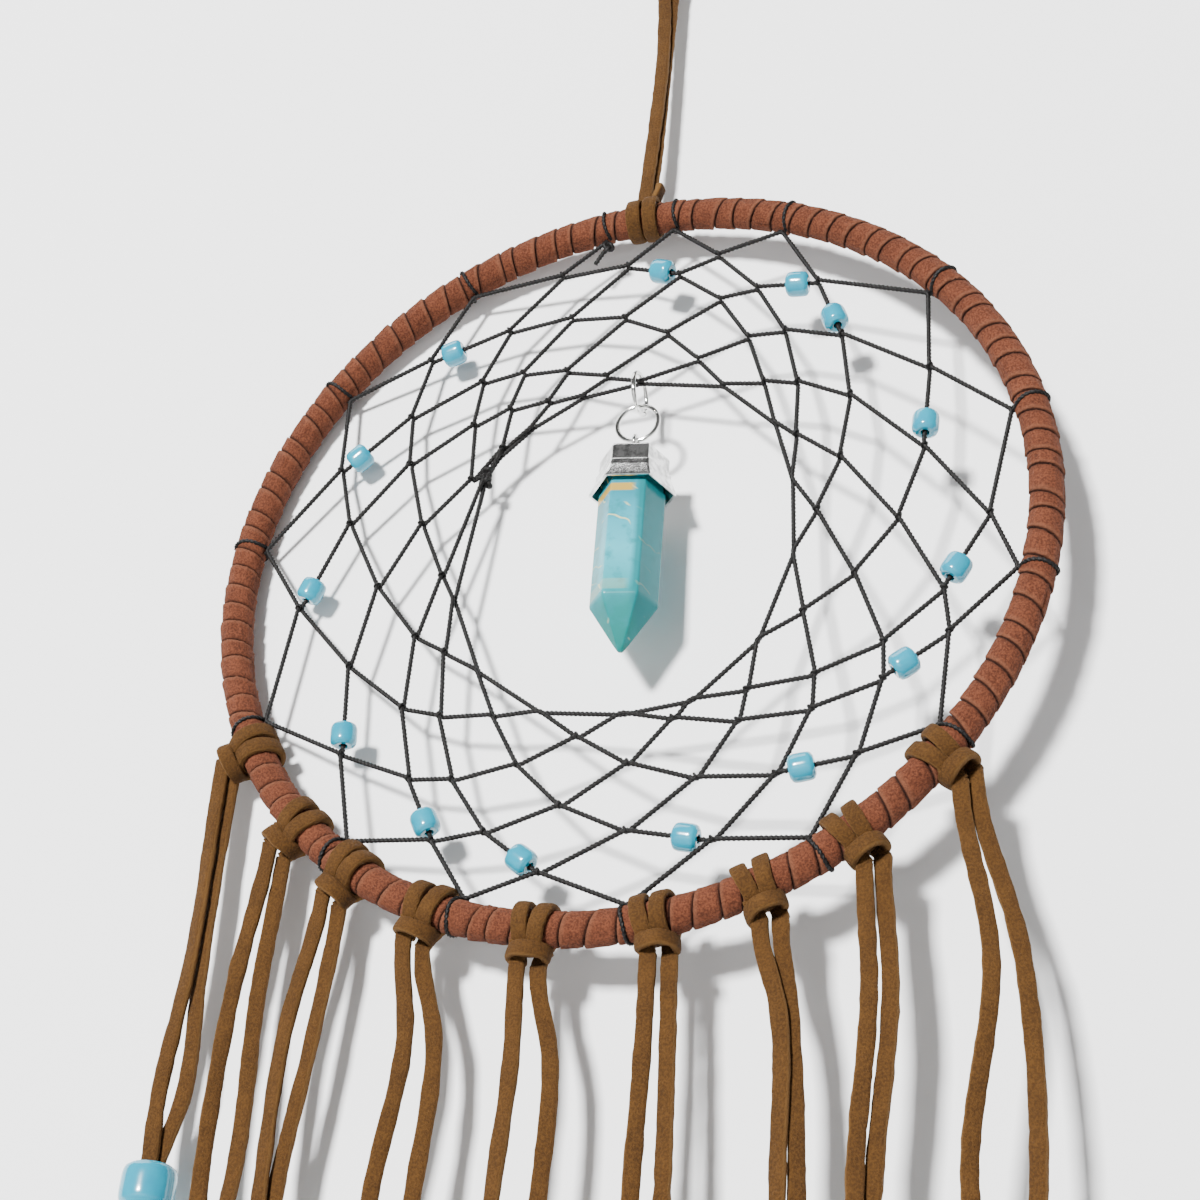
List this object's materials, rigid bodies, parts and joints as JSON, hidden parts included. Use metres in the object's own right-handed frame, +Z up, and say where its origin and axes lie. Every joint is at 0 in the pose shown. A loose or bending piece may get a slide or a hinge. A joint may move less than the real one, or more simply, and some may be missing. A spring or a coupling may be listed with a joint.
{
  "type": "dream catcher",
  "caption": "Suede-bound hoop with a woven thread web, sliding beads, a hanging stone point, and bead-and-feather tassels on laces, hung by a loop of lace.",
  "frame": {"origin": "inside top of the hanging loop, where a nail or hook bears", "axes": "+Z up, +Y towards the wall behind, +X to the right as seen from the front"},
  "size_m": [0.1605, 0.0156, 0.4445],
  "materials": {
    "wrap_suede": "matt russet suede strip, fuzzy at its edges",
    "lace_suede": "matt olive-tan suede lace, 3 mm wide",
    "thread": "black waxed twisted thread",
    "turquoise_bead": "smooth glossy turquoise bead",
    "silver_plate": "bright silver plate",
    "wire": "drawn steel wire, hidden by the binding",
    "stone": "polished banded blue-green stone with gold veins",
    "feather": "dyed feather with pale down at its foot"
  },
  "bodies": {
    "hoop": {"ring_core": "wire", "suede_wrap": "wrap_suede", "web_row_1": "thread", "web_row_2": "thread", "web_row_3": "thread", "web_row_4": "thread", "web_row_5": "thread", "web_row_6": "thread", "web_hitches": "thread", "web_knots": "thread", "hanger_hitch": "lace_suede", "hanger_loop": "lace_suede", "tassel_knots": "lace_suede"},
    "bead_1": {"web_bead_1": "turquoise_bead"},
    "bead_2": {"web_bead_2": "turquoise_bead"},
    "bead_3": {"web_bead_3": "turquoise_bead"},
    "bead_4": {"web_bead_4": "turquoise_bead"},
    "bead_5": {"web_bead_5": "turquoise_bead"},
    "bead_6": {"web_bead_6": "turquoise_bead"},
    "bead_7": {"web_bead_7": "turquoise_bead"},
    "bead_8": {"web_bead_8": "turquoise_bead"},
    "bead_9": {"web_bead_9": "turquoise_bead"},
    "bead_10": {"web_bead_10": "turquoise_bead"},
    "bead_11": {"web_bead_11": "turquoise_bead"},
    "bead_12": {"web_bead_12": "turquoise_bead"},
    "bead_13": {"web_bead_13": "turquoise_bead"},
    "bead_14": {"web_bead_14": "turquoise_bead"},
    "upper_ring": {"upper_jump_ring": "silver_plate"},
    "lower_ring": {"lower_jump_ring": "silver_plate"},
    "pendant": {"pendant_eye": "silver_plate", "pendant_cap": "silver_plate", "pendant_crystal": "stone"},
    "tassel_1": {"tassel_lace_1": "lace_suede", "tassel_bead_1": "turquoise_bead", "feather_1": "feather"},
    "tassel_2": {"tassel_lace_2": "lace_suede", "tassel_bead_2": "turquoise_bead", "feather_2": "feather"},
    "tassel_3": {"tassel_lace_3": "lace_suede", "tassel_bead_3": "turquoise_bead", "feather_3": "feather"},
    "tassel_4": {"tassel_lace_4": "lace_suede", "tassel_bead_4": "turquoise_bead", "feather_4": "feather"},
    "tassel_5": {"tassel_lace_5": "lace_suede", "tassel_bead_5": "turquoise_bead", "feather_5": "feather"},
    "tassel_6": {"tassel_lace_6": "lace_suede", "tassel_bead_6": "turquoise_bead", "feather_6": "feather"},
    "tassel_7": {"tassel_lace_7": "lace_suede", "tassel_bead_7": "turquoise_bead", "feather_7": "feather"},
    "tassel_8": {"tassel_lace_8": "lace_suede", "tassel_bead_8": "turquoise_bead", "feather_8": "feather"},
    "tassel_9": {"tassel_lace_9": "lace_suede", "tassel_bead_9": "turquoise_bead", "feather_9": "feather"}
  },
  "joints": [
    {"name": "bead_1_slide", "type": "slide", "parent": "hoop", "child": "bead_1", "axis": [0.9646, -0.0553, 0.258], "range_m": [0, 0.00787]},
    {"name": "bead_2_slide", "type": "slide", "parent": "hoop", "child": "bead_2", "axis": [0.7863, -0.054, 0.6155], "range_m": [0, 0.00887]},
    {"name": "bead_3_slide", "type": "slide", "parent": "hoop", "child": "bead_3", "axis": [0.4, -0.0472, 0.9153], "range_m": [0, 0.01107]},
    {"name": "bead_4_slide", "type": "slide", "parent": "hoop", "child": "bead_4", "axis": [-0.0594, -0.0506, 0.997], "range_m": [0, 0.00956]},
    {"name": "bead_5_slide", "type": "slide", "parent": "hoop", "child": "bead_5", "axis": [-0.4221, -0.0678, 0.904], "range_m": [0, 0.00567]},
    {"name": "bead_6_slide", "type": "slide", "parent": "hoop", "child": "bead_6", "axis": [-0.7852, -0.0689, 0.6155], "range_m": [0, 0.00487]},
    {"name": "bead_7_slide", "type": "slide", "parent": "hoop", "child": "bead_7", "axis": [-0.9803, -0.0607, 0.1879], "range_m": [0, 0.00583]},
    {"name": "bead_8_slide", "type": "slide", "parent": "hoop", "child": "bead_8", "axis": [0.9838, 0.0681, 0.166], "range_m": [0, 0.00493]},
    {"name": "bead_9_slide", "type": "slide", "parent": "hoop", "child": "bead_9", "axis": [0.8214, 0.0685, 0.5662], "range_m": [0, 0.00461]},
    {"name": "bead_10_slide", "type": "slide", "parent": "hoop", "child": "bead_10", "axis": [0.4956, 0.0572, 0.8667], "range_m": [0, 0.00753]},
    {"name": "bead_11_slide", "type": "slide", "parent": "hoop", "child": "bead_11", "axis": [0.0665, 0.0534, 0.9964], "range_m": [0, 0.00836]},
    {"name": "bead_12_slide", "type": "slide", "parent": "hoop", "child": "bead_12", "axis": [-0.3187, 0.0642, 0.9457], "range_m": [0, 0.00589]},
    {"name": "bead_13_slide", "type": "slide", "parent": "hoop", "child": "bead_13", "axis": [-0.9948, -0.0781, 0.0651], "range_m": [0, 0.00387]},
    {"name": "bead_14_slide", "type": "slide", "parent": "hoop", "child": "bead_14", "axis": [-0.9209, 0.0799, 0.3815], "range_m": [0, 0.00397]},
    {"name": "upper_ring_swing", "type": "hinge", "parent": "hoop", "child": "upper_ring", "pos_m": [0.00175, 0, -0.13953], "axis": [1, 0, 0], "range_deg": [-45, 4]},
    {"name": "lower_ring_sway", "type": "hinge", "parent": "upper_ring", "child": "lower_ring", "pos_m": [0.00175, 0, -0.14638], "axis": [0, 1, 0], "range_deg": [-15, 15]},
    {"name": "pendant_swing", "type": "hinge", "parent": "lower_ring", "child": "pendant", "pos_m": [0.00175, 0, -0.15343], "axis": [1, 0, 0], "range_deg": [-45, 4]},
    {"name": "tassel_1_swing", "type": "hinge", "parent": "hoop", "child": "tassel_1", "pos_m": [-0.07277, 0, -0.21534], "axis": [1, 0, 0], "range_deg": [-20, 4]},
    {"name": "tassel_2_swing", "type": "hinge", "parent": "hoop", "child": "tassel_2", "pos_m": [-0.05985, 0, -0.2328], "axis": [1, 0, 0], "range_deg": [-20, 4]},
    {"name": "tassel_3_swing", "type": "hinge", "parent": "hoop", "child": "tassel_3", "pos_m": [-0.04772, 0, -0.24315], "axis": [1, 0, 0], "range_deg": [-20, 4]},
    {"name": "tassel_4_swing", "type": "hinge", "parent": "hoop", "child": "tassel_4", "pos_m": [-0.03117, 0, -0.25214], "axis": [1, 0, 0], "range_deg": [-20, 4]},
    {"name": "tassel_5_swing", "type": "hinge", "parent": "hoop", "child": "tassel_5", "pos_m": [-0.01014, 0, -0.25758], "axis": [1, 0, 0], "range_deg": [-20, 4]},
    {"name": "tassel_6_swing", "type": "hinge", "parent": "hoop", "child": "tassel_6", "pos_m": [0.0123, 0, -0.25729], "axis": [1, 0, 0], "range_deg": [-20, 4]},
    {"name": "tassel_7_swing", "type": "hinge", "parent": "hoop", "child": "tassel_7", "pos_m": [0.03049, 0, -0.25241], "axis": [1, 0, 0], "range_deg": [-20, 4]},
    {"name": "tassel_8_swing", "type": "hinge", "parent": "hoop", "child": "tassel_8", "pos_m": [0.04713, 0, -0.24357], "axis": [1, 0, 0], "range_deg": [-20, 4]},
    {"name": "tassel_9_swing", "type": "hinge", "parent": "hoop", "child": "tassel_9", "pos_m": [0.06231, 0, -0.23013], "axis": [1, 0, 0], "range_deg": [-20, 4]}
  ]
}
